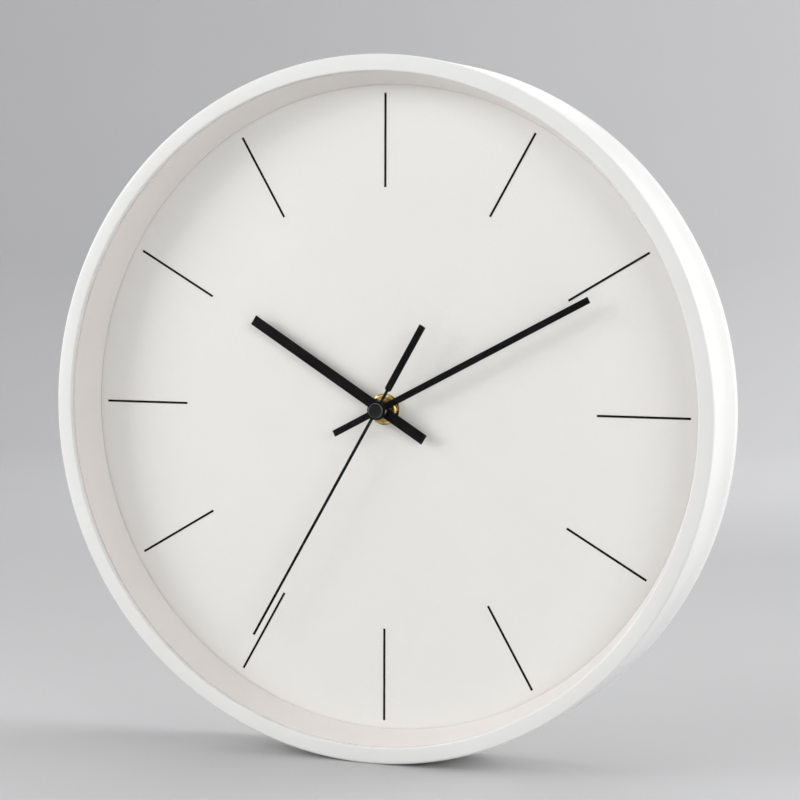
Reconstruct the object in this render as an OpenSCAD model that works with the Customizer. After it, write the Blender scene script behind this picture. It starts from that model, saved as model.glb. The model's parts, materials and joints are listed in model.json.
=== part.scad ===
// Round quartz wall clock: case, lens, dial, hands, and the battery movement behind the dial.
// The clock faces -Y, the wall is the plane y = 0, +Z is up and the hands turn about the Y axis.
// Angles of hands are in degrees clockwise from twelve, seen from the front.

/* [Case] */
// Outside radius of the case ring
case_r = 150; // [146:1:160]
// Depth of the case from the wall to the front rim
case_depth = 38; // [38:0.5:42]
// Thickness of the cylindrical case wall
case_wall = 2; // [1.8:0.1:2.2]
// Radial width of the flat front rim
rim_w = 7; // [6.8:0.1:8]
// Thickness of the front rim
rim_t = 1.5; // [1.2:0.1:4]
// Rounding of the outer front edge
outer_edge_r = 1.2; // [0.4:0.1:1.6]
// Rounding of the inner front edge
inner_edge_r = 0.7; // [0.3:0.1:1]
// Thickness of the lens
lens_t = 1.8; // [1.5:0.1:2.5]
// Number of back cover screws, which is also the number of bosses and notches
screw_count = 6; // [4:1:8]

/* [Dial] */
// Distance from the front rim back to the dial face
dial_recess = 19.6; // [19:0.1:20]
// Radius of the dial that shows inside the inner ring
dial_show_r = 138.5; // [137:0.1:139.5]
// Thickness of the dial plate
dial_t = 1; // [0.8:0.1:1.2]
// Length of each hour marker
marker_len = 40; // [20:1:60]
// Width of each hour marker
marker_w = 0.95; // [0.5:0.05:3]
// Gap between the outer marker ends and the inner ring
marker_gap = 3.5; // [2:0.1:10]

/* [Hands] */
// Angle of the hour hand
hour_angle = 302; // [0:1:359]
// Angle of the minute hand
minute_angle = 62.7; // [0:0.1:359.9]
// Angle of the second hand
second_angle = 210.1; // [0:0.1:359.9]
// Length of the hour hand from the axis to its tip
hour_tip = 71; // [60:1:90]
// Width of the hour hand
hour_w = 4.5; // [3:0.1:6]
// Length of the minute hand from the axis to its tip
minute_tip = 105; // [95:1:120]
// Width of the minute hand
minute_w = 2.8; // [2:0.1:5]
// Length of the tails of the hour hand and the minute hand
tail_len = 23.3; // [10:0.1:30]
// Length of the second hand from the axis to its tip
second_tip = 115.5; // [100:0.5:130]
// Length of the second hand's tail, with its counterweight
second_tail = 42; // [30:1:50]
// Thickness of each hand
hand_t = 0.5; // [0.3:0.05:0.6]

/* [Movement] */
// Width and height of the movement
move_w = 56; // [56:0.5:58]
// Thickness of the movement's walls
move_wall = 1.2; // [1:0.1:1.4]
// Outside radius of the threaded bush
bush_r = 4; // [3.8:0.1:4.4]
// Radius of the brass washer
washer_r = 6.75; // [6:0.05:8]
// Width across the flats of the brass nut
nut_flats = 11.5; // [10:0.1:12]
// Thickness of each gear wheel
wheel_t = 0.8; // [0.6:0.05:0.9]
// Distance between neighbouring gear layers
layer_pitch = 1.5; // [1.4:0.05:1.5]

/* [Battery] */
// Radius of the battery
cell_r = 7.25; // [7:0.05:7.25]
// Length of the battery with its terminal
cell_len = 50.5; // [49.2:0.1:50.5]

/* [Hidden] */

$fn = 96;
eps = 0.01;          // reach of a cut past the face it opens
press = 0.01;        // radial gap of pieces pressed together
running = 0.05;      // radial gap of pieces that turn on each other

// Stack of the case, as y values from the front to the wall
rim_y = -case_depth;
lens_y = rim_y + rim_t;
inner_ring_y = lens_y + lens_t;
dial_y = rim_y + dial_recess;
dial_back_y = dial_y + dial_t;
cover_t = 2.5;
cover_back_y = -1;
cover_y = cover_back_y - cover_t;

// Radii of the case
case_in_r = case_r - case_wall;
rim_in_r = case_r - rim_w;
stack_r = case_in_r - 0.3;
inner_ring_wall = 1.2;
flange_t = 1.4;
shadow_gap = 0.4;    // groove between the inner ring's visible edge and the dial
shadow_in = 0.8;
spacer_r = rim_in_r - 1;
spacer_wall = 2;

// Back cover screws
boss_r = 2;
boss_at_r = case_in_r - boss_r;
notch_r = boss_r + 0.2;
screw_r = 0.8;
screw_len = 8;
screw_head_r = 1.9;
screw_head_t = 0.7;

// Keyhole in the back cover
key_z = 98;
key_r = 4.5;
key_slot_w = 4.5;
key_slot_len = 10;
window_gap = 1;

// Movement levels, as y values
front_wall_t = 0.8;
move_y = dial_back_y;
wall_in_y = move_y + front_wall_t;
function layer(k) = wall_in_y + 0.7 + k * layer_pitch;
magnet_y = move_y + 10.4;
magnet_t = 1.8;
stator_y = move_y + 10.7;
stator_t = 0.8;
bridge_y = move_y + 12.4;
bridge_t = 0.8;
lid_y = move_y + 13.4;
lid_t = 1;
knob_y = lid_y + lid_t + 0.1;
knob_t = 2.4;
move_back_y = move_y + 15.8;

// Movement outline: the battery bay lies below the gear chamber
move_low_z = -move_w / 2 - 0.5;
move_high_z = move_w / 2 - 0.5;
bay_gap = 0.3;
bay_low_z = move_low_z + move_wall;
bay_high_z = bay_low_z + 2 * (cell_r + bay_gap);
divider_t = 1;
chamber_low_z = bay_high_z + divider_t;
chamber_high_z = move_high_z - move_wall;
chamber_x = move_w / 2 - move_wall;

// Battery
cell_y = wall_in_y + bay_gap + cell_r;
cell_z = (bay_low_z + bay_high_z) / 2;
terminal_r = 2.75;
terminal_len = 1;

// Shafts of the hands
hour_tube_r = 2.55;
hour_bore_r = 1.65;
minute_tube_r = hour_bore_r - running;
minute_bore_r = 0.55;
second_arbor_r = minute_bore_r - running;
bush_bore_r = hour_tube_r + running;
bush_y = dial_y - 3.2;
washer_t = 0.5;
nut_t = 2.4;

// Levels of the hands, as y values of their back faces
hour_y = dial_y - 4;
minute_y = dial_y - 6.9;
second_y = dial_y - 9.4;
hour_tube_y = hour_y - hand_t - 0.7;
minute_tube_y = minute_y - hand_t - 0.6;

// Hubs of the hands
hour_hub_r = 3.4;
minute_hub_r = 2.9;
second_hub_r = 4.1;
second_cap_r = 3.2;
collar_len = 0.6;
second_w = 1.3;
second_tip_w = 1;
counter_w = 3;
counter_from = 9.7;
neck_w = 1.2;
neck_taper = 0.9;

// Gear train: teeth and modules. Teeth are involute, with short tips and open gaps.
pressure = 25;
tooth_high = 0.65;
tooth_deep = 0.85;
tooth_share = 0.42;
rotor_n = 8;
mid_n = 48;
mid_mod = 0.25;
mid_pinion_n = 10;
second_n = 50;
second_mod = 0.35;
second_pinion_n = 8;
third_n = 60;
third_mod = 0.3;
third_pinion_n = 8;
centre_n = 64;
centre_mod = third_mod * (second_pinion_n + third_n) / (third_pinion_n + centre_n);
cannon_n = 12;
works_n = 36;
works_pinion_n = 10;
hour_n = 40;
hour_mod = 0.3;
works_mod = hour_mod * (works_pinion_n + hour_n) / (cannon_n + works_n);
setting_n = 20;

// Places of the axes, as [x, z], from the direction of each mesh
function polar(r, a) = [r * cos(a), r * sin(a)];
function mesh_distance(n_a, n_b, mod) = (n_a + n_b) * mod / 2;
third_dir = 135;
mid_dir = 30;
rotor_dir = 70;
works_dir = 180;
setting_dir = 205;
third_at = polar(mesh_distance(third_pinion_n, centre_n, centre_mod), third_dir);
mid_at = polar(mesh_distance(mid_pinion_n, second_n, second_mod), mid_dir);
rotor_at = mid_at + polar(mesh_distance(rotor_n, mid_n, mid_mod), rotor_dir);
works_at = polar(mesh_distance(works_pinion_n, hour_n, hour_mod), works_dir);
setting_at = works_at + polar(mesh_distance(setting_n, works_n, works_mod), setting_dir);

// Turn of gear b that puts its gaps on the teeth of gear a, which lies on the other side of dir
function mesh_turn(dir, turn_a, n_a, n_b) = dir + 180 - (turn_a - dir) * n_a / n_b + 180 / n_b;

// Arbors and their bearings
arbor_r = 0.4;
rotor_shaft_r = 0.7;
rotor_pivot_r = 0.3;
pivot_boss_r = 0.95;
works_post_r = 0.6;
stem_r = 1;
clutch_r = 1.2;
magnet_r = 2.4;
post_r = 1.2;
post_pin_r = 0.6;
bridge_posts = [[-18, 13], [2, 17], [8, -8.5]];

// Coil and stator
coil_x = 21.5;
coil_low_z = -6;
coil_high_z = 16;
core_w = 2.4;
core_t = 1;
core_over = 3;
barrel_r = 1.75;
winding_r = 2.7;
bobbin_flange_r = 2.9;
bobbin_flange_t = 0.8;

// Circuit board
board_x = [-25, -4];
board_z = [17.5, 25.5];
board_t = 0.8;

// Solid along Y from y_low to y_high of a flat shape drawn in x and z
module slab(y_low, y_high) {
    translate([0, y_high, 0]) rotate([90, 0, 0]) linear_extrude(y_high - y_low) children();
}

// Round bar along Y on the axis at [x, z]
module bar(y_low, y_high, r, at = [0, 0]) {
    translate([at[0], y_low, at[1]]) rotate([-90, 0, 0]) cylinder(h = y_high - y_low, r = r);
}

// Round tube along Y on the axis at [x, z]
module tube(y_low, y_high, r_out, r_in, at = [0, 0]) {
    difference() {
        bar(y_low, y_high, r_out, at);
        bar(y_low - eps, y_high + eps, r_in, at);
    }
}

// Solid of revolution about the Y axis, from an outline of radius and y
module turned() {
    rotate([-90, 0, 0]) rotate_extrude($fn = 180) children();
}

// Box between two corners
module block(low, high) {
    translate(low) cube(high - low);
}

// Copies on the circle of the back cover screws
module at_screws() {
    for (i = [0 : screw_count - 1])
        rotate([0, 360 / screw_count * (i + 0.5), 0]) translate([0, 0, boss_at_r]) children();
}

// Flat bar that points up from the axis, turned clockwise to an angle
module hand_bar(angle, from, to, w_from, w_to) {
    rotate(-angle) polygon([[-w_from / 2, from], [w_from / 2, from], [w_to / 2, to], [-w_to / 2, to]]);
}

// Involute spread, in degrees, at a pressure angle
function involute(a) = tan(a) * 180 / PI - a;

// Half of a tooth's angle at radius r of a gear with n teeth and pitch radius p
function tooth_half(n, p, r) =
    let (base = p * cos(pressure), at = r > base ? acos(base / r) : 0)
    180 / n * tooth_share + involute(pressure) - involute(at);

// Outline of one spur gear
module gear_shape(n, mod, turn) {
    p = n * mod / 2;
    r_low = p - tooth_deep * mod;
    r_tip = p + tooth_high * mod;
    r_in = max(r_low, p * cos(pressure));
    r_mid = (r_in + r_tip) / 2;
    levels = [r_low, r_in, r_mid, r_tip];
    rise = [for (r = levels) [r, -tooth_half(n, p, r)]];
    fall = [for (i = [len(levels) - 1 : -1 : 0]) [levels[i], tooth_half(n, p, levels[i])]];
    first = r_in > r_low ? 0 : 1;
    flank = concat([for (i = [first : 3]) rise[i]], [for (i = [0 : 3 - first]) fall[i]]);
    polygon([for (k = [0 : n - 1], q = flank) polar(q[0], turn + 360 / n * k + q[1])]);
}

// Spur gear on the axis at [x, z]
module gear(n, mod, turn, y_low, y_high, at = [0, 0]) {
    translate([at[0], 0, at[1]]) slab(y_low, y_high) gear_shape(n, mod, turn);
}

// ---- Case ----

// One half of the case wall and rim, with rounded front edges
module case_profile() {
    r_corner = case_r - outer_edge_r;
    polygon(concat(
        [[case_in_r, 0], [case_in_r, lens_y], [rim_in_r, lens_y]],
        [for (a = [0 : 30 : 90]) [rim_in_r + inner_edge_r * (1 - cos(a)),
                                  rim_y + inner_edge_r * (1 - sin(a))]],
        [for (a = [0 : 22.5 : 90]) [r_corner + outer_edge_r * sin(a),
                                    rim_y + outer_edge_r * (1 - cos(a))]],
        [[case_r, -0.4], [case_r - 0.4, 0]]));
}

module case_ring() {
    color("white") difference() {
        union() {
            turned() case_profile();
            at_screws() {
                bar(dial_back_y + 0.4, cover_y, boss_r);
                block([-boss_r / 2, dial_back_y + 0.4, 0], [boss_r / 2, cover_y, boss_r + case_wall / 2]);
            }
        }
        at_screws() bar(cover_y - screw_len, cover_y + eps, screw_r + running);
    }
}

module lens() {
    color([0.9, 0.95, 0.95, 0.3]) difference() {
        bar(lens_y, inner_ring_y, stack_r, $fn = 180);
        at_screws() bar(lens_y - eps, inner_ring_y + eps, notch_r);
    }
}

module inner_ring() {
    color("gainsboro") difference() {
        turned() polygon([
            [rim_in_r, inner_ring_y],
            [rim_in_r + inner_ring_wall, inner_ring_y],
            [dial_show_r + inner_ring_wall, dial_y - flange_t],
            [stack_r, dial_y - flange_t],
            [stack_r, dial_y],
            [dial_show_r + shadow_in, dial_y],
            [dial_show_r + shadow_in, dial_y - shadow_gap],
            [dial_show_r, dial_y - shadow_gap]]);
        at_screws() bar(inner_ring_y - eps, dial_y + eps, notch_r);
    }
}

module dial_plate() {
    color("whitesmoke") difference() {
        bar(dial_y, dial_back_y, stack_r, $fn = 180);
        bar(dial_y - eps, dial_back_y + eps, bush_r + 0.2);
        at_screws() bar(dial_y - eps, dial_back_y + eps, notch_r);
    }
}

module hour_markers() {
    marker_t = 0.12;
    marker_out = dial_show_r - marker_gap;
    color("black") for (i = [0 : 11])
        slab(dial_y - marker_t, dial_y)
            hand_bar(30 * i, marker_out - marker_len, marker_out, marker_w, marker_w);
}

// Ring that the back cover presses on the dial
module spacer_ring() {
    color("gainsboro") tube(dial_back_y, cover_y, spacer_r, spacer_r - spacer_wall, $fn = 180);
}

// Keyhole outline: a round entry with a slot above it
module keyhole_shape() {
    translate([0, key_z]) circle(key_r);
    translate([-key_slot_w / 2, key_z]) square([key_slot_w, key_slot_len]);
    translate([0, key_z + key_slot_len]) circle(key_slot_w / 2);
}

module back_cover() {
    color("whitesmoke") difference() {
        bar(cover_y, cover_back_y, stack_r, $fn = 180);
        slab(cover_y - eps, cover_back_y + eps) keyhole_shape();
        block([-move_w / 2 - window_gap, cover_y - eps, move_low_z - window_gap],
              [move_w / 2 + window_gap, cover_back_y + eps, move_high_z + window_gap]);
        at_screws() bar(cover_y - eps, cover_back_y + eps, screw_r + 0.3);
    }
}

module back_cover_screws() {
    cross_w = 0.4;
    cross_len = 2.2;
    head_y = cover_back_y + screw_head_t;
    color("silver") at_screws() difference() {
        union() {
            bar(cover_back_y - screw_len, cover_back_y + eps, screw_r);
            bar(cover_back_y, head_y, screw_head_r);
        }
        for (turn = [0, 90])
            rotate([0, turn, 0]) block([-cross_len / 2, head_y - 0.4, -cross_w / 2],
                                       [cross_len / 2, head_y + eps, cross_w / 2]);
    }
}

// ---- Hands ----

module hour_hand() {
    color("black") difference() {
        union() {
            slab(hour_y - hand_t, hour_y) hand_bar(hour_angle, -tail_len, hour_tip, hour_w, hour_w);
            bar(hour_y - hand_t, hour_y + collar_len, hour_hub_r);
        }
        bar(hour_y - hand_t - eps, hour_y + collar_len + eps, hour_tube_r + press);
    }
}

module minute_hand() {
    color("black") difference() {
        union() {
            slab(minute_y - hand_t, minute_y)
                hand_bar(minute_angle, -tail_len, minute_tip, minute_w, minute_w);
            bar(minute_y - hand_t, minute_y + collar_len, minute_hub_r);
        }
        bar(minute_y - hand_t - eps, minute_y + collar_len + eps, minute_tube_r + press);
    }
}

module second_hand() {
    second_t = hand_t - 0.1;
    color("black") difference() {
        union() {
            slab(second_y - second_t, second_y) {
                hand_bar(second_angle, 0, second_tip, second_w, second_tip_w);
                hand_bar(second_angle, -counter_from - neck_taper, 0, neck_w, neck_w);
                hand_bar(second_angle, -counter_from - neck_taper, -counter_from, counter_w, neck_w);
                hand_bar(second_angle, -second_tail, -counter_from - neck_taper, counter_w, counter_w);
            }
            bar(second_y - second_t - 0.1, second_y + 0.1, second_hub_r);
            bar(second_y, second_y + 1, clutch_r);
        }
        bar(second_y - 1, second_y + 1 + eps, second_arbor_r + press);
    }
}

module second_hand_cap() {
    cap_back_y = second_y - hand_t;
    cap_t = 1;
    cap_edge = 0.25;
    color("black") turned() polygon([
        [0, cap_back_y], [second_cap_r, cap_back_y],
        [second_cap_r, cap_back_y - cap_t + cap_edge],
        [second_cap_r - cap_edge, cap_back_y - cap_t],
        [0, cap_back_y - cap_t]]);
}

// ---- Bush, washer and nut ----

module brass_washer() {
    color("gold") tube(dial_y - washer_t, dial_y, washer_r, bush_r + 0.1);
}

module brass_nut() {
    nut_back_y = dial_y - washer_t;
    corner_r = nut_flats / 2 / cos(30);
    chamfer = 0.6;
    color("gold") difference() {
        intersection() {
            translate([0, nut_back_y - nut_t, 0]) rotate([-90, 0, 0])
                cylinder(h = nut_t, r = corner_r, $fn = 6);
            turned() polygon([
                [0, nut_back_y], [corner_r, nut_back_y],
                [corner_r, nut_back_y - nut_t + chamfer],
                [corner_r - 2 * chamfer, nut_back_y - nut_t],
                [0, nut_back_y - nut_t]]);
        }
        bar(nut_back_y - nut_t - eps, nut_back_y + eps, bush_r + press);
    }
}

module threaded_bush() {
    color("goldenrod") difference() {
        union() {
            bar(bush_y, wall_in_y, bush_r);
            bar(wall_in_y, wall_in_y + 0.4, bush_r + 1.5);
        }
        bar(bush_y - eps, wall_in_y + 0.4 + eps, bush_bore_r);
    }
}

// ---- Movement housing ----

// Bosses that carry the front ends of the arbors, and posts that carry the bridge
module movement_bosses() {
    bar(wall_in_y - eps, layer(2) - 0.5, pivot_boss_r, third_at);
    bar(wall_in_y - eps, layer(4) - 0.7, pivot_boss_r, mid_at);
    bar(wall_in_y - eps, layer(5) - 0.6, pivot_boss_r, rotor_at);
    bar(wall_in_y - eps, layer(2) - 0.4, works_post_r, works_at);
    for (p = bridge_posts) {
        bar(wall_in_y - eps, bridge_y, post_r, p);
        bar(bridge_y - eps, bridge_y + bridge_t, post_pin_r, p);
    }
}

module movement_case() {
    color("dimgray") difference() {
        union() {
            difference() {
                block([-move_w / 2, move_y, move_low_z], [move_w / 2, move_back_y, move_high_z]);
                block([-chamber_x, wall_in_y, chamber_low_z],
                      [chamber_x, move_back_y + eps, chamber_high_z]);
                block([-chamber_x, wall_in_y, bay_low_z], [chamber_x, move_back_y + eps, bay_high_z]);
            }
            movement_bosses();
        }
        bar(move_y - eps, wall_in_y + eps, bush_r + press);
        bar(layer(2) - 1.5, layer(2), arbor_r + running, third_at);
        bar(layer(4) - 1.7, layer(4), arbor_r + running, mid_at);
        bar(layer(5) - 1.4, layer(5), rotor_pivot_r + running, rotor_at);
        bar(wall_in_y - 0.4, wall_in_y + eps, stem_r + running, setting_at);
    }
}

module movement_cover() {
    gap = 0.1;
    color("dimgray") difference() {
        block([-chamber_x + gap, lid_y, chamber_low_z + gap],
              [chamber_x - gap, lid_y + lid_t, chamber_high_z - gap]);
        bar(lid_y - eps, lid_y + lid_t + eps, stem_r + 0.1, setting_at);
    }
}

module train_bridge() {
    eye_r = 2.2;
    web_w = 3;
    color("ivory") difference() {
        slab(bridge_y, bridge_y + bridge_t) {
            circle(eye_r);
            for (p = concat([third_at, mid_at, rotor_at], bridge_posts)) {
                translate(p) circle(eye_r);
                rotate(atan2(p[1], p[0])) translate([0, -web_w / 2]) square([norm(p), web_w]);
            }
        }
        bar(bridge_y - eps, bridge_y + bridge_t + eps, second_arbor_r + running);
        for (p = [third_at, mid_at])
            bar(bridge_y - eps, bridge_y + bridge_t + eps, arbor_r + running, p);
        bar(bridge_y - eps, bridge_y + bridge_t + eps, rotor_pivot_r + running, rotor_at);
        for (p = bridge_posts)
            bar(bridge_y - eps, bridge_y + bridge_t + eps, post_pin_r + running, p);
    }
}

// ---- Gear train ----

module hour_wheel() {
    turn = mesh_turn(works_dir + 180, 0, works_pinion_n, hour_n);
    color("ivory") difference() {
        union() {
            gear(hour_n, hour_mod, turn, layer(0), layer(0) + wheel_t);
            bar(hour_tube_y, layer(0) + wheel_t, hour_tube_r);
        }
        bar(hour_tube_y - eps, layer(0) + wheel_t + eps, hour_bore_r);
    }
}

// Cannon pinion, whose tube carries the minute hand and whose rear stub carries the centre wheel
module cannon_pinion() {
    turn = mesh_turn(works_dir + 180, 0, works_n, cannon_n);
    pinion_y = layer(1) - 0.2;
    pinion_back_y = layer(1) + wheel_t + 0.2;
    color("ivory") difference() {
        union() {
            bar(minute_tube_y, pinion_y + eps, minute_tube_r);
            gear(cannon_n, works_mod, turn, pinion_y, pinion_back_y);
            bar(pinion_back_y - eps, layer(2) + wheel_t + 0.2, clutch_r);
        }
        bar(minute_tube_y - eps, layer(2) + wheel_t + 1, minute_bore_r);
    }
}

module centre_wheel() {
    color("ivory") difference() {
        gear(centre_n, centre_mod, 0, layer(2), layer(2) + wheel_t);
        bar(layer(2) - eps, layer(2) + wheel_t + eps, clutch_r + press);
    }
}

module second_wheel() {
    turn = mesh_turn(third_dir + 180, 0, third_n, second_pinion_n);
    color("ivory") difference() {
        union() {
            gear(second_pinion_n, third_mod, turn, layer(3) - 0.2, layer(4) + eps);
            gear(second_n, second_mod, 0, layer(4), layer(4) + wheel_t);
            bar(layer(4), layer(4) + wheel_t + 0.4, clutch_r);
        }
        bar(layer(3) - 1, layer(4) + wheel_t + 1, second_arbor_r + press);
    }
}

module second_arbor() {
    color("silver") bar(second_y - hand_t, bridge_y + bridge_t, second_arbor_r);
}

module third_wheel() {
    turn = mesh_turn(third_dir, 0, centre_n, third_pinion_n);
    color("ivory") difference() {
        union() {
            gear(third_pinion_n, centre_mod, turn, layer(2) - 0.2, layer(3) + eps, third_at);
            gear(third_n, third_mod, 0, layer(3), layer(3) + wheel_t, third_at);
            bar(layer(3), layer(3) + wheel_t + 0.4, clutch_r, third_at);
        }
        bar(layer(2) - 1, layer(3) + wheel_t + 1, arbor_r + press, third_at);
    }
}

module third_arbor() {
    color("silver") bar(layer(2) - 1.2, bridge_y + bridge_t, arbor_r, third_at);
}

module intermediate_wheel() {
    turn = mesh_turn(mid_dir, 0, second_n, mid_pinion_n);
    color("ivory") difference() {
        union() {
            gear(mid_pinion_n, second_mod, turn, layer(4) - 0.2, layer(5) + eps, mid_at);
            gear(mid_n, mid_mod, 0, layer(5), layer(5) + wheel_t, mid_at);
        }
        bar(layer(4) - 1, layer(5) + wheel_t + 1, arbor_r + press, mid_at);
    }
}

module intermediate_arbor() {
    color("silver") bar(layer(4) - 1.4, bridge_y + bridge_t, arbor_r, mid_at);
}

module rotor_pinion() {
    turn = mesh_turn(rotor_dir, 0, mid_n, rotor_n);
    color("ivory") {
        bar(layer(5) - 1.2, layer(5), rotor_pivot_r, rotor_at);
        gear(rotor_n, mid_mod, turn, layer(5) - 0.1, layer(5) + wheel_t + 0.1, rotor_at);
        bar(layer(5) + wheel_t, magnet_y + magnet_t, rotor_shaft_r, rotor_at);
        bar(magnet_y, bridge_y + bridge_t, rotor_pivot_r, rotor_at);
    }
}

module rotor_magnet() {
    color("darkslategray") tube(magnet_y, magnet_y + magnet_t, magnet_r, rotor_shaft_r + press, rotor_at);
}

// Minute works: its wheel takes the cannon pinion's turn, and its pinion drives the hour wheel
module minute_works_wheel() {
    color("ivory") difference() {
        union() {
            gear(works_pinion_n, hour_mod, 0, layer(0) - 0.2, layer(1) + eps, works_at);
            gear(works_n, works_mod, 0, layer(1), layer(1) + wheel_t, works_at);
        }
        bar(layer(0) - 1, layer(1) + wheel_t + 1, works_post_r + running, works_at);
    }
}

module setting_wheel() {
    turn = mesh_turn(setting_dir, 0, works_n, setting_n);
    color("ivory") difference() {
        gear(setting_n, works_mod, turn, layer(1), layer(1) + wheel_t, setting_at);
        bar(layer(1) - eps, layer(1) + wheel_t + eps, stem_r + press, setting_at);
    }
}

module setting_knob() {
    knob_r = 6;
    groove_r = 0.35;
    groove_count = 36;
    color("dimgray") translate([setting_at[0], 0, setting_at[1]]) difference() {
        union() {
            bar(wall_in_y - 0.3, knob_y + eps, stem_r);
            bar(knob_y, knob_y + knob_t, knob_r);
        }
        for (i = [0 : groove_count - 1])
            rotate([0, 360 / groove_count * i, 0])
                bar(knob_y - eps, knob_y + knob_t + eps, groove_r, [0, knob_r]);
        bar(knob_y + knob_t - 0.6, knob_y + knob_t + eps, knob_r - 2);
    }
}

// ---- Motor and circuit ----

// Stator: an eye around the magnet and two arms that reach the ends of the coil's core
module stator() {
    arm_w = 3;
    eye_r = 4.4;
    color("silver") slab(stator_y, stator_y + stator_t) difference() {
        union() {
            translate(rotor_at) circle(eye_r);
            for (end_z = [coil_low_z - core_over, coil_high_z + core_over]) {
                low_z = end_z < 0 ? end_z : end_z - arm_w;
                translate([rotor_at[0], low_z]) square([coil_x - rotor_at[0] + core_w / 2, arm_w]);
            }
            translate([rotor_at[0] + 1, coil_low_z - core_over])
                square([arm_w, coil_high_z - coil_low_z + 2 * core_over]);
        }
        translate(rotor_at) circle(magnet_r + 0.4);
    }
}

module coil_core() {
    color("silver") block([coil_x - core_w / 2, stator_y - core_t, coil_low_z - core_over],
                          [coil_x + core_w / 2, stator_y, coil_high_z + core_over]);
}

// Upright round bar on the coil's axis
module coil_round(z_low, z_high, r) {
    translate([coil_x, stator_y - core_t / 2, z_low]) cylinder(h = z_high - z_low, r = r);
}

module coil_bobbin() {
    color("seashell") difference() {
        union() {
            coil_round(coil_low_z, coil_high_z, barrel_r);
            coil_round(coil_low_z, coil_low_z + bobbin_flange_t, bobbin_flange_r);
            coil_round(coil_high_z - bobbin_flange_t, coil_high_z, bobbin_flange_r);
        }
        block([coil_x - core_w / 2, stator_y - core_t, coil_low_z - 1],
              [coil_x + core_w / 2, stator_y, coil_high_z + 1]);
    }
}

module coil_winding() {
    z_low = coil_low_z + bobbin_flange_t;
    z_high = coil_high_z - bobbin_flange_t;
    color("chocolate") difference() {
        coil_round(z_low, z_high, winding_r);
        coil_round(z_low - eps, z_high + eps, barrel_r + press);
    }
}

module circuit_board() {
    color("darkgreen") block([board_x[0], stator_y, board_z[0]],
                             [board_x[1], stator_y + board_t, board_z[1]]);
}

module quartz_crystal() {
    can_r = 1;
    can_len = 6;
    color("silver") translate([board_x[0] + 3, stator_y - can_r, board_z[1] - 2])
        rotate([0, 90, 0]) cylinder(h = can_len, r = can_r);
}

module timing_chip() {
    chip_r = 2.6;
    chip_t = 0.9;
    color("black") bar(stator_y - chip_t, stator_y, chip_r, [board_x[1] - 5, board_z[0] + 4]);
}

// ---- Battery ----

// Spring leaf at one end of the battery bay: side is 1 at the positive end, -1 at the other
module contact(side) {
    leaf_t = 0.4;
    leaf_w = 8;
    bump_w = 4;
    gap = 0.05;
    end_x = chamber_x - gap;
    touch_x = cell_len / 2 + gap;
    reach_y = cell_y + cell_r - 1;
    scale([side, 1, 1]) {
        block([end_x - leaf_t, wall_in_y + gap, cell_z - leaf_w / 2], [end_x, reach_y, cell_z + leaf_w / 2]);
        block([touch_x, cell_y - bump_w / 2, cell_z - bump_w / 2],
              [end_x - leaf_t + eps, cell_y + bump_w / 2, cell_z + bump_w / 2]);
    }
}

module contact_positive() {
    color("silver") contact(1);
}

module contact_negative() {
    color("silver") contact(-1);
}

module battery_cell() {
    color("orange") translate([-cell_len / 2, cell_y, cell_z])
        rotate([0, 90, 0]) cylinder(h = cell_len - terminal_len, r = cell_r);
}

module battery_terminal() {
    color("silver") translate([cell_len / 2 - terminal_len, cell_y, cell_z])
        rotate([0, 90, 0]) cylinder(h = terminal_len, r = terminal_r);
}

case_ring();
lens();
inner_ring();
dial_plate();
hour_markers();
spacer_ring();
back_cover();
back_cover_screws();
hour_hand();
minute_hand();
second_hand();
second_hand_cap();
brass_washer();
brass_nut();
threaded_bush();
movement_case();
movement_cover();
hour_wheel();
cannon_pinion();
centre_wheel();
second_wheel();
second_arbor();
third_wheel();
third_arbor();
intermediate_wheel();
intermediate_arbor();
rotor_pinion();
rotor_magnet();
minute_works_wheel();
setting_wheel();
setting_knob();
train_bridge();
stator();
coil_core();
coil_bobbin();
coil_winding();
circuit_board();
quartz_crystal();
timing_chip();
contact_positive();
contact_negative();
battery_cell();
battery_terminal();
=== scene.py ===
import json
import math

import bmesh
import bpy
from mathutils import Matrix, Vector


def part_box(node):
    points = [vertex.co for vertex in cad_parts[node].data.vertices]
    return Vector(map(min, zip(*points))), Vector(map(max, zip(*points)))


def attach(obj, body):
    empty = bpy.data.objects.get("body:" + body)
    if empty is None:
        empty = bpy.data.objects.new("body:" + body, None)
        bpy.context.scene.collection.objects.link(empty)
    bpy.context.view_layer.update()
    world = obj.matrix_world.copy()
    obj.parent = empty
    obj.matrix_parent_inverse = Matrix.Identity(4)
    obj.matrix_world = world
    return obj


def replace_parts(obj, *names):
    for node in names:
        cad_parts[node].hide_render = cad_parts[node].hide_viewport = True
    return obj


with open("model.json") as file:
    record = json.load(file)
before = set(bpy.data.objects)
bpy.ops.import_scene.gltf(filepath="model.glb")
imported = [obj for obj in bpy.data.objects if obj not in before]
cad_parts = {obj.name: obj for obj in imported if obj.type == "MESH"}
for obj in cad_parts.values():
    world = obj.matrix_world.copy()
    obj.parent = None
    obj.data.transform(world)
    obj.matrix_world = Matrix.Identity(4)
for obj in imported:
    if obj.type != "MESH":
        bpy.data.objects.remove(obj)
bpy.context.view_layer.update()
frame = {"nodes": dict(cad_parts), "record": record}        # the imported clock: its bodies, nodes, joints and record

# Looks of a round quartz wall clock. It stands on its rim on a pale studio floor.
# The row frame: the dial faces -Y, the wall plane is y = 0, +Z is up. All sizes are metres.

MM = 0.001
NODES = frame["nodes"]
SCENE = bpy.context.scene

CASE_LOW, CASE_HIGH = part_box("case_ring")
CASE_R = (CASE_HIGH.x - CASE_LOW.x) / 2
FRONT_Y = CASE_LOW.y
FLOOR_Z = -CASE_R
LIP_R = CASE_R - 7 * MM

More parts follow.
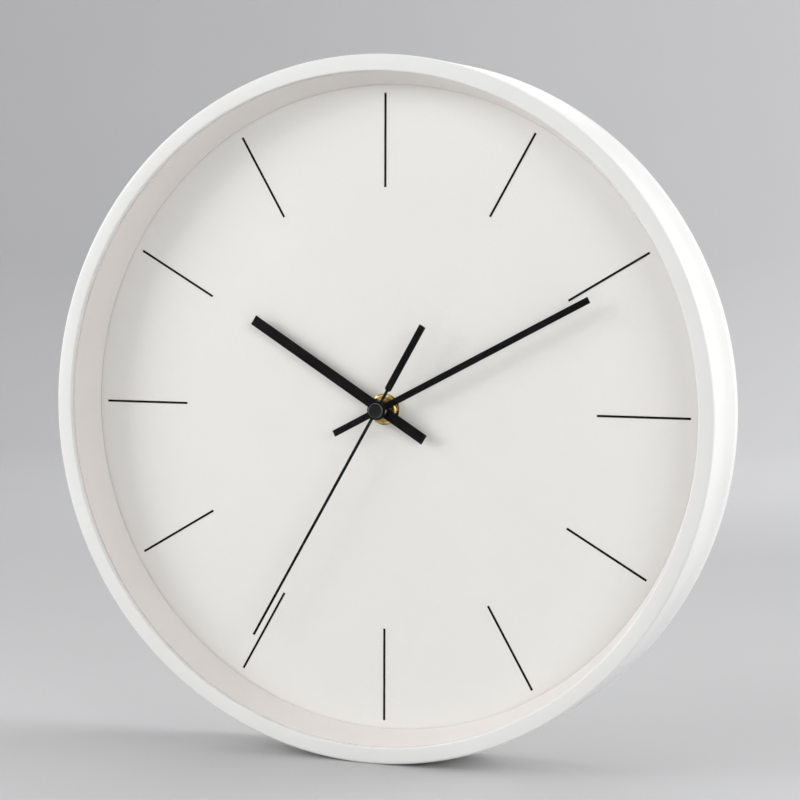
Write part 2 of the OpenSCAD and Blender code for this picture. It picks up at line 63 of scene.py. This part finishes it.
# Keyhole and movement window of the back cover, and the ribs that stand on the cover
KEYHOLE = next(mount for mount in frame["record"]["mounts"] if mount["name"] == "keyhole")
KEY_Z = KEYHOLE["pos_m"][2]
KEY_R = KEYHOLE["dims"]["r_mm"] * MM
KEY_SLOT = 4.5 * MM
KEY_RISE = 10 * MM
WINDOW_GAP = 1 * MM
RIB_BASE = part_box("back_cover")[1].y - 0.2 * MM
RIB_TOP = RIB_BASE + 0.8 * MM


# ---- Camera ----

def add_camera():
    """Camera to the right of the clock's axis and a little above it, with a long lens."""
    azimuth = math.radians(22.1)
    elevation = math.radians(3.87)
    roll = math.radians(0.15)
    distance = 0.9818
    aim_right = 13.79 * MM
    aim_up = 5.15 * MM
    back = Vector((math.sin(azimuth) * math.cos(elevation),
                   -math.cos(azimuth) * math.cos(elevation), math.sin(elevation)))
    level_right = Vector((math.cos(azimuth), math.sin(azimuth), 0))
    level_up = back.cross(level_right)
    right = level_right * math.cos(roll) + level_up * math.sin(roll)
    up = level_up * math.cos(roll) - level_right * math.sin(roll)
    place = Vector((0, FRONT_Y, 0)) + back * distance + right * aim_right + up * aim_up
    data = bpy.data.cameras.new("camera")
    data.lens = 104.8
    data.sensor_width = 36
    data.clip_start = 0.01
    camera = bpy.data.objects.new("camera", data)
    camera.matrix_world = Matrix.Translation(place) @ Matrix((right, up, back)).transposed().to_4x4()
    SCENE.collection.objects.link(camera)
    SCENE.camera = camera


# ---- Node materials ----

class Surface:
    """One procedural material around a Principled shader, in object coordinates."""

    def __init__(self, name, color, rough=0.5, metal=0.0, specular=0.5):
        self.material = bpy.data.materials.new(name)
        self.material.use_nodes = True
        self.material.diffuse_color = (*color, 1)
        tree = self.material.node_tree
        self.nodes = tree.nodes
        self.links = tree.links
        self.shader = self.nodes["Principled BSDF"]
        self.output = self.nodes["Material Output"]
        self.color = color
        self.shader.inputs["Base Color"].default_value = (*color, 1)
        self.shader.inputs["Roughness"].default_value = rough
        self.shader.inputs["Metallic"].default_value = metal
        self.shader.inputs["Specular IOR Level"].default_value = specular
        self.place = self.nodes.new("ShaderNodeTexCoord").outputs["Object"]
        self.bump = None

    def link(self, source, target):
        self.links.new(source, target)

    def stretched(self, scale):
        """Object coordinates scaled by a factor along each axis."""
        node = self.nodes.new("ShaderNodeMapping")
        node.inputs["Scale"].default_value = scale
        self.link(self.place, node.inputs["Vector"])
        return node.outputs["Vector"]

    def noise(self, size, detail=4.0, place=None):
        """Noise whose features are about size metres across."""
        node = self.nodes.new("ShaderNodeTexNoise")
        node.inputs["Scale"].default_value = 1 / size
        node.inputs["Detail"].default_value = detail
        self.link(place or self.place, node.inputs["Vector"])
        return node.outputs["Fac"]

    def rings(self, pitch, direction="Y", shape="RINGS", distortion=0.0):
        """Concentric rings about an axis, or bands along it, pitch metres apart."""
        node = self.nodes.new("ShaderNodeTexWave")
        node.wave_type = shape
        if shape == "RINGS":
            node.rings_direction = direction
        else:
            node.bands_direction = direction
        node.inputs["Scale"].default_value = math.pi / 10 / pitch
        node.inputs["Distortion"].default_value = distortion
        self.link(self.place, node.inputs["Vector"])
        return node.outputs["Fac"]

    def remap(self, source, low, high, from_low=0.0, from_high=1.0):
        """A number stretched from one range to another."""
        node = self.nodes.new("ShaderNodeMapRange")
        node.inputs["From Min"].default_value = from_low
        node.inputs["From Max"].default_value = from_high
        node.inputs["To Min"].default_value = low
        node.inputs["To Max"].default_value = high
        self.link(source, node.inputs["Value"])
        return node.outputs["Result"]

    def math(self, operation, a, b):
        """a and b are sockets or plain numbers."""
        node = self.nodes.new("ShaderNodeMath")
        node.operation = operation
        for socket, value in zip(node.inputs, (a, b)):
            if isinstance(value, (int, float)):
                socket.default_value = value
            else:
                self.link(value, socket)
        return node.outputs["Value"]

    def mixed(self, amount, first, second):
        """Two colours, as sockets or tuples, mixed by a number."""
        node = self.nodes.new("ShaderNodeMix")
        node.data_type = "RGBA"
        self.link(amount, node.inputs[0])
        for socket, value in ((node.inputs[6], first), (node.inputs[7], second)):
            if isinstance(value, tuple):
                socket.default_value = (*value, 1)
            else:
                self.link(value, socket)
        return node.outputs[2]

    def tone(self, size, change, detail=3.0):
        """Slow colour variation: the base colour from darker to lighter by a share of itself."""
        low = tuple(c * (1 - change) for c in self.color)
        high = tuple(min(1.0, c * (1 + change)) for c in self.color)
        amount = self.remap(self.noise(size, detail), 0, 1, 0.35, 0.65)
        self.paint(self.mixed(amount, low, high))
        return self

    def paint(self, color_socket):
        self.link(color_socket, self.shader.inputs["Base Color"])

    def uneven(self, size, low, high, detail=5.0):
        """Roughness that wanders between two values."""
        wander = self.remap(self.noise(size, detail), low, high, 0.3, 0.7)
        self.link(wander, self.shader.inputs["Roughness"])
        return self

    def relief(self, height, depth):
        """Adds a bump of the given depth in metres. Later bumps lie on earlier ones."""
        node = self.nodes.new("ShaderNodeBump")
        node.inputs["Strength"].default_value = 1
        node.inputs["Distance"].default_value = depth
        self.link(height, node.inputs["Height"])
        if self.bump:
            self.link(self.bump, node.inputs["Normal"])
        self.bump = node.outputs["Normal"]
        self.link(self.bump, self.shader.inputs["Normal"])
        return self

    def grain(self, size, depth, detail=2.0):
        return self.relief(self.noise(size, detail), depth)

    def coat(self, weight, rough):
        self.shader.inputs["Coat Weight"].default_value = weight
        self.shader.inputs["Coat Roughness"].default_value = rough
        return self

    def steps(self, source, stops):
        """Colour bands along a number: stops are (place, colour)."""
        node = self.nodes.new("ShaderNodeValToRGB")
        ramp = node.color_ramp
        while len(ramp.elements) < len(stops):
            ramp.elements.new(0.5)
        for element, (place, color) in zip(ramp.elements, stops):
            element.position = place
            element.color = (*color, 1)
        self.link(source, node.inputs["Fac"])
        return node.outputs["Color"]

    def axis(self, name):
        """One object coordinate, in metres."""
        node = self.nodes.new("ShaderNodeSeparateXYZ")
        self.link(self.place, node.inputs["Vector"])
        return node.outputs[name]


def plastic(name, color, rough, texture=0.35 * MM, depth=0.012 * MM, change=0.02, spread=0.06):
    """Moulded plastic with a fine spark-eroded texture."""
    surface = Surface(name, color, rough)
    surface.tone(28 * MM, change)
    surface.uneven(9 * MM, rough - spread, rough + spread)
    surface.grain(texture, depth)
    surface.grain(6 * MM, depth * 2)
    return surface


def lacquer(name, color, rough):
    """Painted moulding: orange peel under a thin clear coat."""
    surface = Surface(name, color, rough)
    surface.tone(40 * MM, 0.012)
    surface.uneven(14 * MM, rough - 0.05, rough + 0.07)
    surface.grain(0.9 * MM, 0.004 * MM)
    surface.grain(0.12 * MM, 0.0015 * MM)
    surface.coat(0.25, 0.28)
    return surface


def hub_surface(radius):
    """Black anodised cap whose edge was cut after the colouring and shows a little metal."""
    cut_w = 0.22 * MM
    blend = 0.04 * MM
    surface = Surface("hub_plastic", (0.006, 0.008, 0.008), 0.35, specular=0.15)
    along, up = surface.axis("X"), surface.axis("Z")
    squares = surface.math("ADD", surface.math("MULTIPLY", along, along), surface.math("MULTIPLY", up, up))
    distance = surface.math("SQRT", squares, 0)
    cut = surface.remap(distance, 0, 1, radius - cut_w - blend, radius - cut_w)
    surface.paint(surface.mixed(cut, surface.color, (0.16, 0.165, 0.16)))
    surface.link(cut, surface.shader.inputs["Metallic"])
    surface.uneven(1 * MM, 0.28, 0.42)
    surface.relief(surface.rings(0.12 * MM), 0.003 * MM)
    return surface


def turned_metal(name, color, rough, pitch, depth, direction="Y"):
    """Metal with fine lathe rings, faint stains and small scratches."""
    surface = Surface(name, color, rough, metal=1.0)
    dark = tuple(c * 0.86 for c in color)
    stain = surface.remap(surface.noise(3 * MM, 4), 0, 1, 0.4, 0.8)
    surface.paint(surface.mixed(stain, color, dark))
    surface.uneven(2 * MM, rough - 0.05, rough + 0.07)
    surface.relief(surface.rings(pitch, direction), depth)
    surface.grain(0.15 * MM, depth / 3)
    return surface


def brass_with_painted_rings():
    """Turned brass with broad pale and dark rings painted into its colour: painted highlight and painted shade."""
    surface = turned_metal("brass", (0.83, 0.58, 0.20), 0.22, 0.16 * MM, 0.003 * MM)
    # Painted highlight and painted shade: pale and dark colour rings, 1.5 mm apart about the Y axis, stand in for lit
    # edges and shaded hollows.
    surface.paint(surface.mixed(surface.rings(1.5 * MM), (0.88, 0.68, 0.30), (0.50, 0.29, 0.08)))
    return surface


def rolled_metal(name, color, rough, grain_axis):
    """Sheet metal with fine rolling lines along one axis."""
    surface = Surface(name, color, rough, metal=1.0)
    surface.tone(3 * MM, 0.08)
    stretch = {"X": (0.02, 1, 1), "Y": (1, 0.02, 1), "Z": (1, 1, 0.02)}[grain_axis]
    lines = surface.noise(0.08 * MM, 4, surface.stretched(stretch))
    surface.link(surface.remap(lines, rough - 0.08, rough + 0.12, 0.3, 0.7),
                 surface.shader.inputs["Roughness"])
    surface.relief(lines, 0.002 * MM)
    return surface


def dial_surface():
    """Satin sprayed board with a fine even grain."""
    surface = Surface("dial_sheet", (0.83, 0.822, 0.79), 0.5)
    surface.tone(60 * MM, 0.008)
    surface.uneven(20 * MM, 0.44, 0.54)
    surface.grain(0.22 * MM, 0.004 * MM)
    surface.coat(0.12, 0.4)
    return surface


def ink_surface():
    """Screen-printed ink: slightly uneven black with a soft gloss."""
    surface = Surface("black_ink", (0.004, 0.004, 0.0035), 0.5, specular=0.08)
    surface.tone(1.5 * MM, 0.3)
    surface.uneven(2 * MM, 0.42, 0.6)
    surface.grain(0.18 * MM, 0.004 * MM)
    return surface


def hand_surface():
    """Satin black enamel on thin metal."""
    surface = Surface("hand_metal", (0.003, 0.003, 0.0036), 0.38, specular=0.07)
    surface.tone(8 * MM, 0.3)
    surface.uneven(5 * MM, 0.32, 0.46)
    surface.grain(0.14 * MM, 0.002 * MM)
    return surface


def lens_surface():
    """Clear lens that lets lamps through to the dial.

    Its index is low, because the object shows no reflections in its lens.
    """
    surface = Surface("clear_lens", (1.0, 1.0, 1.0), 0.0)
    surface.shader.inputs["Transmission Weight"].default_value = 1
    surface.shader.inputs["IOR"].default_value = 1.12
    clear = surface.nodes.new("ShaderNodeBsdfTransparent")
    chooser = surface.nodes.new("ShaderNodeMixShader")
    rays = surface.nodes.new("ShaderNodeLightPath")
    lamp = surface.math("MAXIMUM", rays.outputs["Is Shadow Ray"], rays.outputs["Is Diffuse Ray"])
    surface.link(lamp, chooser.inputs[0])
    surface.link(surface.shader.outputs[0], chooser.inputs[1])
    surface.link(clear.outputs[0], chooser.inputs[2])
    surface.link(chooser.outputs[0], surface.output.inputs["Surface"])
    return surface


def winding_surface():
    """Enamelled copper wire, wound in close turns along Z."""
    surface = Surface("copper_wire", (0.55, 0.22, 0.08), 0.28, metal=1.0)
    surface.tone(2 * MM, 0.15)
    surface.relief(surface.rings(0.12 * MM, "Z", "BANDS"), 0.05 * MM)
    surface.coat(0.6, 0.12)
    return surface


def board_surface():
    """Green solder mask over copper tracks."""
    surface = Surface("board", (0.02, 0.13, 0.05), 0.3)
    tracks = surface.nodes.new("ShaderNodeTexBrick")
    tracks.inputs["Scale"].default_value = 420
    tracks.inputs["Mortar Size"].default_value = 0.012
    tracks.inputs["Color1"].default_value = (0.02, 0.13, 0.05, 1)
    tracks.inputs["Color2"].default_value = (0.025, 0.16, 0.06, 1)
    tracks.inputs["Mortar"].default_value = (0.08, 0.28, 0.1, 1)
    turn = surface.nodes.new("ShaderNodeMapping")
    turn.inputs["Rotation"].default_value = (math.pi / 2, 0, 0)
    surface.link(surface.place, turn.inputs["Vector"])
    surface.link(turn.outputs["Vector"], tracks.inputs["Vector"])
    surface.paint(tracks.outputs["Color"])
    surface.relief(tracks.outputs["Fac"], 0.03 * MM)
    surface.coat(0.5, 0.1)
    return surface


def jacket_surface(low_x, high_x):
    """Printed battery film: a dark body, a pale ring and a grey end, over a thin wrap."""
    surface = Surface("cell_jacket", (0.02, 0.06, 0.12), 0.3)
    along = surface.remap(surface.axis("X"), 0, 1, low_x, high_x)
    bands = surface.steps(along, [(0.0, (0.02, 0.045, 0.09)), (0.05, (0.018, 0.06, 0.12)),
                                  (0.80, (0.6, 0.6, 0.58)), (0.82, (0.33, 0.34, 0.36))])
    bands.node.color_ramp.interpolation = "CONSTANT"
    scuff = surface.remap(surface.noise(2 * MM, 8), 0, 0.05, 0.62, 0.8)
    surface.paint(surface.mixed(scuff, bands, (0.3, 0.3, 0.3)))
    surface.uneven(3 * MM, 0.22, 0.4)
    surface.grain(0.4 * MM, 0.006 * MM)
    surface.coat(0.5, 0.15)
    return surface


def make_materials():
    """One material for each slot of the record."""
    cell_low, cell_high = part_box("battery_cell")
    _, cap_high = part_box("second_hand_cap")
    return {
        "case_plastic": lacquer("case_plastic", (0.83, 0.83, 0.815), 0.42),
        "inner_ring_plastic": plastic("inner_ring_plastic", (0.81, 0.77, 0.742), 0.5, change=0.01),
        "clear_lens": lens_surface(),
        "dial_sheet": dial_surface(),
        "black_ink": ink_surface(),
        "hand_metal": hand_surface(),
        "hub_plastic": hub_surface(cap_high.x),
        "brass": brass_with_painted_rings(),
        "cover_plastic": plastic("cover_plastic", (0.76, 0.76, 0.74), 0.55, 0.5 * MM, 0.012 * MM),
        "movement_plastic": plastic("movement_plastic", (0.018, 0.018, 0.019), 0.42, 0.3 * MM, 0.02 * MM,
                                    0.2),
        "gear_plastic": plastic("gear_plastic", (0.78, 0.75, 0.66), 0.35, 0.2 * MM, 0.004 * MM),
        "bobbin_plastic": plastic("bobbin_plastic", (0.70, 0.56, 0.36), 0.4, 0.2 * MM, 0.004 * MM),
        "steel": rolled_metal("steel", (0.56, 0.56, 0.57), 0.3, "Z"),
        "screw_steel": turned_metal("screw_steel", (0.62, 0.62, 0.64), 0.25, 0.1 * MM, 0.004 * MM),
        "magnet": plastic("magnet", (0.05, 0.05, 0.055), 0.45, 0.15 * MM, 0.01 * MM, 0.15),
        "copper_wire": winding_surface(),
        "board": board_surface(),
        "chip_resin": plastic("chip_resin", (0.01, 0.01, 0.01), 0.2, 0.6 * MM, 0.05 * MM, 0.2),
        "contact_metal": rolled_metal("contact_metal", (0.63, 0.62, 0.59), 0.26, "X"),
        "cell_jacket": jacket_surface(cell_low.x, cell_high.x),
    }


# ---- Mesh building ----

def new_piece(name, bm, body, slot, smooth_angle=35):
    """Turns a bmesh into a piece with smooth shading that rides on a body."""
    bmesh.ops.recalc_face_normals(bm, faces=bm.faces)
    mesh = bpy.data.meshes.new(name)
    bm.to_mesh(mesh)
    bm.free()
    mesh.shade_smooth()
    mesh.set_sharp_from_angle(angle=math.radians(smooth_angle))
    piece = bpy.data.objects.new(name, mesh)
    SCENE.collection.objects.link(piece)
    mesh.materials.append(MATERIALS[slot].material)
    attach(piece, body)
    return piece


def revolve(bm, outline, segments, axis="Y"):
    """Turns a closed outline of (radius, place along the axis) about that axis."""
    rings = []
    for i in range(segments):
        angle = 2 * math.pi * i / segments
        s, c = math.sin(angle), math.cos(angle)
        ring = []
        for r, along in outline:
            point = (r * s, along, r * c) if axis == "Y" else (along, r * s, r * c)
            ring.append(bm.verts.new(point))
        rings.append(ring)
    for i, ring in enumerate(rings):
        after = rings[(i + 1) % segments]
        for j in range(len(outline)):
            k = (j + 1) % len(outline)
            bm.faces.new((ring[j], ring[k], after[k], after[j]))
    bmesh.ops.remove_doubles(bm, verts=bm.verts, dist=1e-7)


def rounded(outline, radii, steps=5):
    """A closed outline with an arc at each corner whose radius isn't 0."""
    points = []
    count = len(outline)
    for i, (corner, radius) in enumerate(zip(outline, radii)):
        here = Vector(corner)
        if not radius:
            points.append(tuple(here))
            continue
        before = (Vector(outline[i - 1]) - here).normalized()
        after = (Vector(outline[(i + 1) % count]) - here).normalized()
        half = before.angle(after) / 2
        reach = radius / math.tan(half)
        centre = here + (before + after).normalized() * (radius / math.sin(half))
        start = (here + before * reach - centre).normalized()
        end = (here + after * reach - centre).normalized()
        for step in range(steps + 1):
            points.append(tuple(centre + start.slerp(end, step / steps) * radius))
    return points


# ---- Visible case ----

def make_case():
    """Lathe-turned case shell with rounded edges and a parting line near the wall."""
    lens_low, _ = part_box("lens")
    wall = 2 * MM
    line_y = -4.5 * MM
    line_w = 0.25 * MM
    line_d = 0.12 * MM
    outline = [
        (CASE_R - wall, 0), (CASE_R - wall, lens_low.y), (LIP_R, lens_low.y), (LIP_R, FRONT_Y),
        (CASE_R, FRONT_Y),
        (CASE_R, line_y - line_w), (CASE_R - line_d, line_y), (CASE_R, line_y + line_w), (CASE_R, 0)]
    radii = [0.3 * MM, 0, 0.1 * MM, 0.7 * MM, 1.25 * MM, 0, 0, 0, 0.4 * MM]
    bm = bmesh.new()
    revolve(bm, rounded(outline, radii, 6), 360)
    return new_piece("case_shell", bm, "case", "case_plastic", 50)


def make_gasket():
    """Pale ring around the lens that closes the slot between the lip and the inner ring."""
    lens_low, lens_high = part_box("lens")
    inner_r = LIP_R + 0.25 * MM
    outer_r = CASE_R - 2.4 * MM
    soft = 0.15 * MM
    bm = bmesh.new()
    outline = [(inner_r, lens_low.y), (inner_r, lens_high.y),
               (outer_r, lens_high.y), (outer_r, lens_low.y)]
    revolve(bm, rounded(outline, [soft, soft, 0, 0], 3), 360)
    new_piece("lens_gasket", bm, "case", "inner_ring_plastic")


# ---- Back cover ----

def loft(bm, loops, closed=False):
    """Skins loops that all have as many points. It's closed like a tube, or its last loop is filled."""
    rows = [[bm.verts.new(point) for point in loop] for loop in loops]
    count = len(rows[0])
    pairs = list(zip(rows, rows[1:]))
    if closed:
        pairs.append((rows[-1], rows[0]))
    else:
        bm.faces.new(rows[-1])
        bm.faces.new(list(reversed(rows[0])))
    for low, high in pairs:
        for i in range(count):
            k = (i + 1) % count
            bm.faces.new((low[i], low[k], high[k], high[i]))


def arc(centre, radius, start, end, steps):
    """Points (x, z) on an arc, with angles in degrees clockwise from +Z."""
    points = []
    for i in range(steps + 1):
        angle = math.radians(start + (end - start) * i / steps)
        points.append((centre[0] + radius * math.sin(angle), centre[1] + radius * math.cos(angle)))
    return points


def stadium(near, far, radius, angle):
    """Outline of a round-ended bar that points away from the axis at an angle."""
    s, c = math.sin(math.radians(angle)), math.cos(math.radians(angle))
    line = arc((0, near), radius, 90, 270, 8) + arc((0, far), radius, -90, 90, 8)
    return [(x * c + z * s, z * c - x * s) for x, z in line]


def keyhole_line(grow):
    """Outline of the keyhole, grown outwards."""
    big_r = KEY_R + grow
    slot_r = KEY_SLOT / 2 + grow
    meet = math.degrees(math.asin(slot_r / big_r))
    return (arc((0, KEY_Z), big_r, meet, 360 - meet, 40)
            + arc((0, KEY_Z + KEY_RISE), slot_r, -90, 90, 16))


def window_line(grow):
    """Outline of the window around the movement, grown outwards, with round corners."""
    low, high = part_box("movement_case")
    corner = 0.6 * MM + grow
    reach = WINDOW_GAP + grow - corner
    line = []
    for x, z, start in ((high.x + reach, high.z + reach, 0), (high.x + reach, low.z - reach, 90),
                        (low.x - reach, low.z - reach, 180), (low.x - reach, high.z + reach, 270)):
        line += arc((x, z), corner, start, start + 90, 6)
    return line


def raised_rim(bm, line, inner, outer):
    """Moulded rim along an outline, with softened top edges."""
    soft = 0.2 * MM
    profile = [(inner, RIB_BASE), (inner, RIB_TOP - soft), (inner + soft, RIB_TOP),
               (outer - soft, RIB_TOP), (outer, RIB_TOP - soft), (outer, RIB_BASE)]
    loft(bm, [[(x, y, z) for x, z in line(grow)] for grow, y in profile], closed=True)


def make_back_ribs():
    """Moulded ribs, hanger collar and movement frame on the back cover."""
    soft = 0.25 * MM
    rib_w = 1.6 * MM
    inner_rib = 66 * MM
    outer_rib = 132 * MM
    spoke = ((0.7 * MM, RIB_BASE), (0.65 * MM, RIB_TOP - soft), (0.4 * MM, RIB_TOP))
    bm = bmesh.new()
    for r in (inner_rib, outer_rib):
        outline = [(r - rib_w / 2, RIB_BASE), (r - rib_w / 2, RIB_TOP), (r + rib_w / 2, RIB_TOP),
                   (r + rib_w / 2, RIB_BASE)]
        revolve(bm, rounded(outline, [0, soft, soft, 0], 3), 240)
    for hour in range(1, 12):
        loft(bm, [[(x, y, z) for x, z in stadium(inner_rib, outer_rib, r, 30 * hour)] for r, y in spoke])
    raised_rim(bm, keyhole_line, 0.15 * MM, 1.9 * MM)
    raised_rim(bm, window_line, 0.1 * MM, 1.6 * MM)
    new_piece("back_ribs", bm, "case", "cover_plastic")


def make_movement_ribs():
    """Moulded ribs, knob collar and stepped frame on the movement's lid."""
    low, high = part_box("movement_cover")
    knob_low, knob_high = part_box("setting_knob")
    knob_x, knob_z = (knob_low.x + knob_high.x) / 2, (knob_low.z + knob_high.z) / 2
    collar_r = (knob_high.x - knob_low.x) / 2 + 0.9 * MM
    base = high.y - 0.2 * MM
    top = high.y + 0.5 * MM
    soft = 0.15 * MM
    frame_w = 0.8 * MM
    inset = 1.5 * MM
    corner = 1 * MM
    rib_count = 9
    rib_pitch = 3.2 * MM
    rib_r = 0.4 * MM

    def frame_line(grow):
        reach = corner + inset - grow
        x0, x1 = low.x + reach, high.x - reach
        z0, z1 = low.z + reach, high.z - reach
        return (arc((x1, z1), corner, 0, 90, 4) + arc((x1, z0), corner, 90, 180, 4)
                + arc((x0, z0), corner, 180, 270, 4) + arc((x0, z1), corner, 270, 360, 4))

    def collar_line(grow):
        return arc((knob_x, knob_z), collar_r + grow, 0, 352.5, 47)

    bm = bmesh.new()
    ridge = [(0, base), (0, top - soft), (soft, top),
             (frame_w - soft, top), (frame_w, top - soft), (frame_w, base)]
    for line in (frame_line, collar_line):
        loft(bm, [[(x, y, z) for x, z in line(grow)] for grow, y in ridge], closed=True)
    rib_bottom = (low.z + high.z) / 2 - 5 * MM
    rib_top = high.z - 4.5 * MM
    clearance = collar_r + 2 * MM
    rib = ((rib_r, base), (rib_r, top - soft), (rib_r - soft, top))
    for i in range(rib_count):
        x = high.x - 6 * MM - rib_pitch * i
        near = rib_bottom
        if x < knob_x + clearance:
            near = max(rib_bottom, knob_z + clearance)
        loft(bm, [[(x + dx, y, z) for dx, z in stadium(near, rib_top, r, 0)] for r, y in rib])
    new_piece("movement_ribs", bm, "case", "movement_plastic")


# ---- Hub cap and battery ----

def make_hub_cap():
    """Turned cap of the second hand: a recessed face inside a thin cut edge."""
    low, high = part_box("second_hand_cap")
    r = (high.x - low.x) / 2
    edge = 0.18 * MM
    outline = [(0, high.y), (r, high.y), (r, low.y + edge), (r - edge, low.y), (r - 2 * edge, low.y),
               (r - 2.6 * edge, low.y + 0.12 * MM), (0, low.y + 0.1 * MM)]
    bm = bmesh.new()
    revolve(bm, rounded(outline, [0, 0.05 * MM, 0.06 * MM, 0.06 * MM, 0.04 * MM, 0.04 * MM, 0], 3), 96)
    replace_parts(new_piece("hub_cap", bm, "second_hand", "hub_plastic", 40), "second_hand_cap")


def make_battery():
    """Cell with a printed jacket that wraps over its shoulders, a crimped can and a pip."""
    low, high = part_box("battery_cell")
    tip_low, tip_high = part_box("battery_terminal")
    middle = (low + high) / 2
    r = (high.z - low.z) / 2
    pip_r = (tip_high.z - tip_low.z) / 2
    shoulder = 0.7 * MM
    lap = 1.1 * MM
    film = 0.12 * MM
    turn_in = shoulder * 0.3
    jacket = [(r - lap, low.x), (r - turn_in, low.x), (r, low.x + shoulder),
              (r, high.x - shoulder), (r - turn_in, high.x), (r - lap, high.x),
              (r - lap, high.x - film), (r - film - turn_in, high.x - film), (r - film, high.x - shoulder),
              (r - film, low.x + shoulder), (r - film - turn_in, low.x + film), (r - lap, low.x + film)]
    can_r = r - film
    can = [(0, low.x + 0.35 * MM), (can_r * 0.62, low.x + 0.35 * MM), (can_r * 0.7, low.x + 0.1 * MM),
           (can_r - lap, low.x + 0.1 * MM), (can_r - 0.3 * MM, low.x + film),
           (can_r, low.x + shoulder), (can_r, high.x - shoulder), (can_r - 0.3 * MM, high.x - film),
           (can_r - lap, high.x - 0.1 * MM), (pip_r + 1.3 * MM, high.x - 0.1 * MM),
           (pip_r + 0.9 * MM, high.x - 0.35 * MM), (pip_r, high.x - 0.35 * MM),
           (pip_r, tip_high.x), (0, tip_high.x)]
    can_edges = [0, 0.1 * MM, 0.1 * MM, 0, 0, 0, 0, 0, 0, 0.1 * MM, 0.1 * MM, 0.1 * MM, 0.4 * MM, 0]
    for name, outline, slot in (("battery_jacket", jacket, "cell_jacket"),
                                ("battery_can", rounded(can, can_edges, 3), "contact_metal")):
        bm = bmesh.new()
        revolve(bm, outline, 96, "X")
        bmesh.ops.translate(bm, verts=bm.verts, vec=(0, middle.y, middle.z))
        piece = new_piece(name, bm, "battery", slot)
        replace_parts(piece, "battery_cell" if name == "battery_jacket" else "battery_terminal")


# ---- CAD nodes ----

# Width of the softened edges
EDGE_WIDTHS = {
    "hour_hand": 0.1 * MM, "minute_hand": 0.1 * MM, "second_hand": 0.08 * MM,
    "brass_nut": 0.15 * MM, "brass_washer": 0.08 * MM, "back_cover_screws": 0.08 * MM,
    "back_cover": 0.2 * MM, "movement_case": 0.25 * MM, "movement_cover": 0.15 * MM,
    "setting_knob": 0.12 * MM, "contact_positive": 0.1 * MM, "contact_negative": 0.1 * MM,
}


def dress_nodes():
    """Gives every CAD node its material and softens the edges that catch light."""
    slots = {s["node"]: s["material_slot"] for s in frame["record"]["subparts"]}
    for name, node in NODES.items():
        node.data.materials.clear()
        node.data.materials.append(MATERIALS[slots[name]].material)
    for name, width in EDGE_WIDTHS.items():
        bevel = NODES[name].modifiers.new("edge", "BEVEL")
        bevel.width = width
        bevel.segments = 3
        bevel.limit_method = "ANGLE"
        bevel.angle_limit = math.radians(40)
        bevel.use_clamp_overlap = True


# ---- Studio ----

def make_stage():
    """Round pale floor that curves up into a low wall all round the clock."""
    flat_r = 1.5
    bend = 0.95
    wall_top = 1.35
    steps = 20
    sides = 144
    line = [(0.02, FLOOR_Z), (0.4, FLOOR_Z), (0.9, FLOOR_Z)]
    for i in range(steps + 1):
        angle = math.pi / 2 * i / steps
        line.append((flat_r + bend * math.sin(angle), FLOOR_Z + bend * (1 - math.cos(angle))))
    line.append((flat_r + bend, wall_top))
    bm = bmesh.new()
    last_angle = 360 - 360 / sides
    rows = []
    for r, z in line:
        rows.append([bm.verts.new((x, y, z)) for x, y in arc((0, 0), r, 0, last_angle, sides - 1)])
    for low, high in zip(rows, rows[1:]):
        for i in range(len(low)):
            k = (i + 1) % len(low)
            bm.faces.new((low[i], low[k], high[k], high[i]))
    bm.faces.new(list(reversed(rows[0])))
    mesh = bpy.data.meshes.new("studio_floor")
    bm.to_mesh(mesh)
    bm.free()
    mesh.shade_smooth()
    floor = bpy.data.objects.new("studio_floor", mesh)
    SCENE.collection.objects.link(floor)
    surface = Surface("studio_paper", (0.53, 0.53, 0.538), 0.75)
    surface.tone(0.4, 0.01)
    surface.grain(1.2 * MM, 0.02 * MM)
    mesh.materials.append(surface.material)


def add_light(name, place, aim, size, power):
    data = bpy.data.lights.new(name, "AREA")
    data.shape = "RECTANGLE"
    data.size, data.size_y = size
    data.energy = power
    lamp = bpy.data.objects.new(name, data)
    lamp.location = place
    lamp.rotation_euler = (Vector(aim) - Vector(place)).to_track_quat("-Z", "Y").to_euler()
    lamp.visible_camera = False
    SCENE.collection.objects.link(lamp)


LIGHTS = [
    # name, place, aim, size, power
    ("key", (-0.9, -1.7, 0.9), (0, 0, 0), (1.3, 1.3), 4.7),
    ("left_front", (-1.25, -0.8, 0.45), (0, 0, 0.02), (0.7, 0.7), 10.8),
    ("left_side", (-1.5, -0.2, 0.45), (0, 0, 0), (0.6, 0.7), 1.9),
    ("low_right", (1.25, -1.15, 0.42), (0, 0, 0.02), (0.9, 0.5), 8.6),
    ("right_back", (1.3, 0.45, 0.55), (0.2, 0, 0), (0.8, 0.6), 13),
    ("overhead", (0.1, 0.1, 1.6), (0, 0, 0), (1.4, 1.0), 7),
    ("back_fill", (-0.6, 1.4, 0.9), (0, 0, 0), (1.0, 1.0), 4.5),
    ("backdrop", (0.5, 1.1, 0.9), (0.0, 2.4, 0.6), (0.8, 0.8), 13),
]
AMBIENT = 0.3


def light_studio():
    """Even daylight from all around and soft boxes."""
    world = bpy.data.worlds.new("studio")
    SCENE.world = world
    world.use_nodes = True
    world.node_tree.nodes["Background"].inputs["Color"].default_value = (1, 1, 1, 1)
    world.node_tree.nodes["Background"].inputs["Strength"].default_value = AMBIENT
    for light in LIGHTS:
        add_light(*light)
    SCENE.view_settings.view_transform = "Standard"


# ---- Making the scene ----

add_camera()
MATERIALS = make_materials()
dress_nodes()
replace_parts(make_case(), "case_ring")
make_gasket()
make_hub_cap()
make_back_ribs()
make_movement_ribs()
make_battery()
make_stage()
light_studio()
